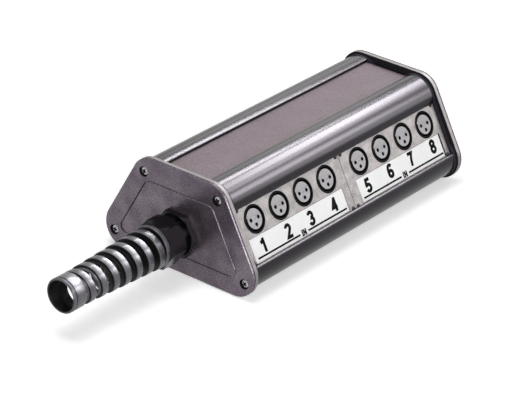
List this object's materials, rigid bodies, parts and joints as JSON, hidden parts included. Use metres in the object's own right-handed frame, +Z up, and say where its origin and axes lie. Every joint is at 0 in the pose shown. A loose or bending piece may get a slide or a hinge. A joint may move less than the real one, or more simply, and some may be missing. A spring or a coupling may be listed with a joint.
{
  "type": "stage box snake",
  "caption": "Trapezoid stage box with round corner rails, a sloping row of three-pole sockets and a spiral cable bend guard.",
  "frame": {"origin": "centre of the bounding box's bottom, on the plane that the end plates rest on", "axes": "+X along the box, from the bend guard's mouth to the far end plate; +Z up; the sockets' side faces -Y"},
  "size_m": [0.3832, 0.1394, 0.0815],
  "materials": {
    "anodised_rail": "satin clear anodised",
    "taupe_panel": "matte",
    "satin_end_plate": "satin, fine orange peel",
    "black_gasket": "matte",
    "bright_screw": "polished",
    "cast_socket_plate": "cast, matte mottled grey",
    "white_label": "satin white film",
    "black_carrier": "matte",
    "black_screw": "black oxide",
    "black_socket_shell": "semi-gloss",
    "grey_insert": "matte",
    "black_gland": "semi-gloss moulded",
    "gland_seal_rubber": "matte"
  },
  "bodies": {
    "box": {"rail_upper_left": "anodised_rail", "rail_upper_right": "anodised_rail", "rail_lower_left": "anodised_rail", "rail_lower_right": "anodised_rail", "top_panel": "taupe_panel", "bottom_panel": "taupe_panel", "side_panel_left": "taupe_panel", "end_plate_near": "satin_end_plate", "end_gasket_near": "black_gasket", "end_screw_near_upper_left": "bright_screw", "end_screw_near_upper_right": "bright_screw", "end_screw_near_lower_left": "bright_screw", "end_screw_near_lower_right": "bright_screw", "end_plate_far": "satin_end_plate", "end_gasket_far": "black_gasket", "end_screw_far_upper_left": "bright_screw", "end_screw_far_upper_right": "bright_screw", "end_screw_far_lower_left": "bright_screw", "end_screw_far_lower_right": "bright_screw", "socket_plate_1": "cast_socket_plate", "label_strip_1": "white_label", "socket_carrier_1": "black_carrier", "plate_screw_1_1": "black_screw", "plate_screw_1_2": "black_screw", "plate_screw_1_3": "black_screw", "plate_screw_1_4": "black_screw", "socket_plate_2": "cast_socket_plate", "label_strip_2": "white_label", "socket_carrier_2": "black_carrier", "plate_screw_2_1": "black_screw", "plate_screw_2_2": "black_screw", "plate_screw_2_3": "black_screw", "plate_screw_2_4": "black_screw", "socket_shell_1": "black_socket_shell", "socket_insert_1": "grey_insert", "socket_shell_2": "black_socket_shell", "socket_insert_2": "grey_insert", "socket_shell_3": "black_socket_shell", "socket_insert_3": "grey_insert", "socket_shell_4": "black_socket_shell", "socket_insert_4": "grey_insert", "socket_shell_5": "black_socket_shell", "socket_insert_5": "grey_insert", "socket_shell_6": "black_socket_shell", "socket_insert_6": "grey_insert", "socket_shell_7": "black_socket_shell", "socket_insert_7": "grey_insert", "socket_shell_8": "black_socket_shell", "socket_insert_8": "grey_insert", "gland_body": "black_gland", "gland_locknut": "black_gland", "gland_seal": "gland_seal_rubber"},
    "slip_ring": {"gland_slip_ring": "black_gland"},
    "cap_nut": {"cap_nut_bend_guard": "black_gland"}
  },
  "joints": [
    {"name": "cap_nut_travel", "type": "slide", "parent": "box", "child": "slip_ring", "axis": [-1, 0, 0], "range_m": [0, 0.006]},
    {"name": "cap_nut_turn", "type": "hinge", "parent": "slip_ring", "child": "cap_nut", "pos_m": [-0.09, 0, 0.0325], "axis": [-1, 0, 0], "range_deg": [0, 1440]}
  ],
  "couplings": [
    {"joint": "cap_nut_travel", "follows": "cap_nut_turn", "m_per_rad": 0.00023873}
  ]
}
